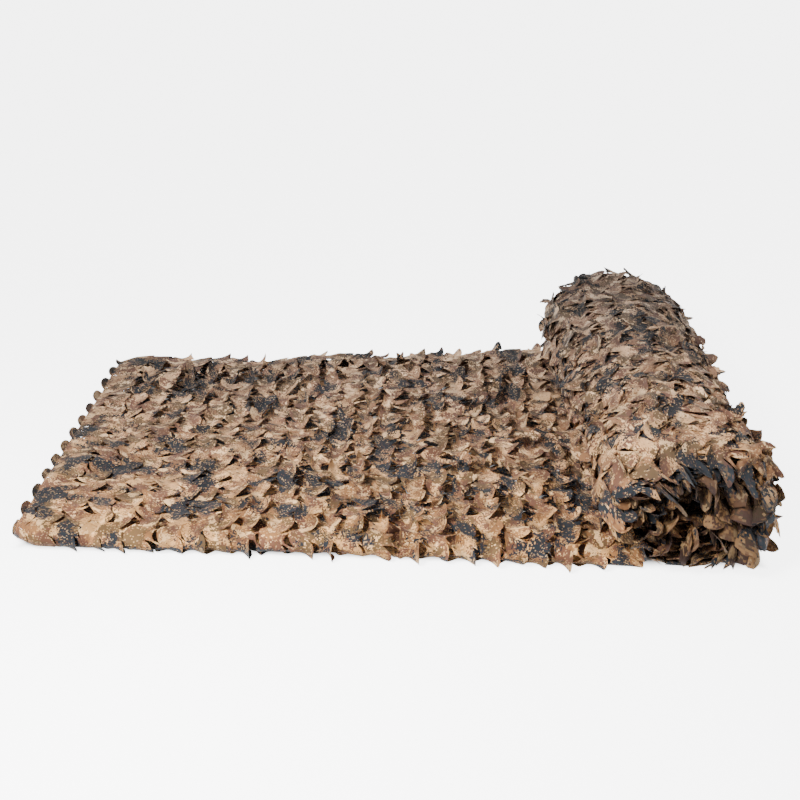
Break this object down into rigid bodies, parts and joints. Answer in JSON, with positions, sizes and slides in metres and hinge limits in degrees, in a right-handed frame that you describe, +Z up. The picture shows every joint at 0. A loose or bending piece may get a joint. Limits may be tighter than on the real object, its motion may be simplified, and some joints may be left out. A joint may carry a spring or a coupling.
{
  "type": "camouflage netting",
  "caption": "Leaf-cut camouflage netting, folded once along its length and partly unrolled: a flat openwork end that runs into a fluffy roll.",
  "frame": {"origin": "centre of the footprint, on the surface that the netting lies on", "axes": "+X from the cut end of the laid-out cloth towards the roll, +Y from the folded front edge to the back, along the roll, +Z up"},
  "size_m": [1.9687, 1.5652, 0.3534],
  "materials": {
    "laid_cloth": "matte woven polyester, pixel-edged desert camouflage print",
    "rolled_cloth": "matte woven polyester, pixel-edged desert camouflage print"
  },
  "bodies": {
    "root": {"net_loose_end": "laid_cloth", "net_roll": "rolled_cloth"}
  },
  "joints": []
}
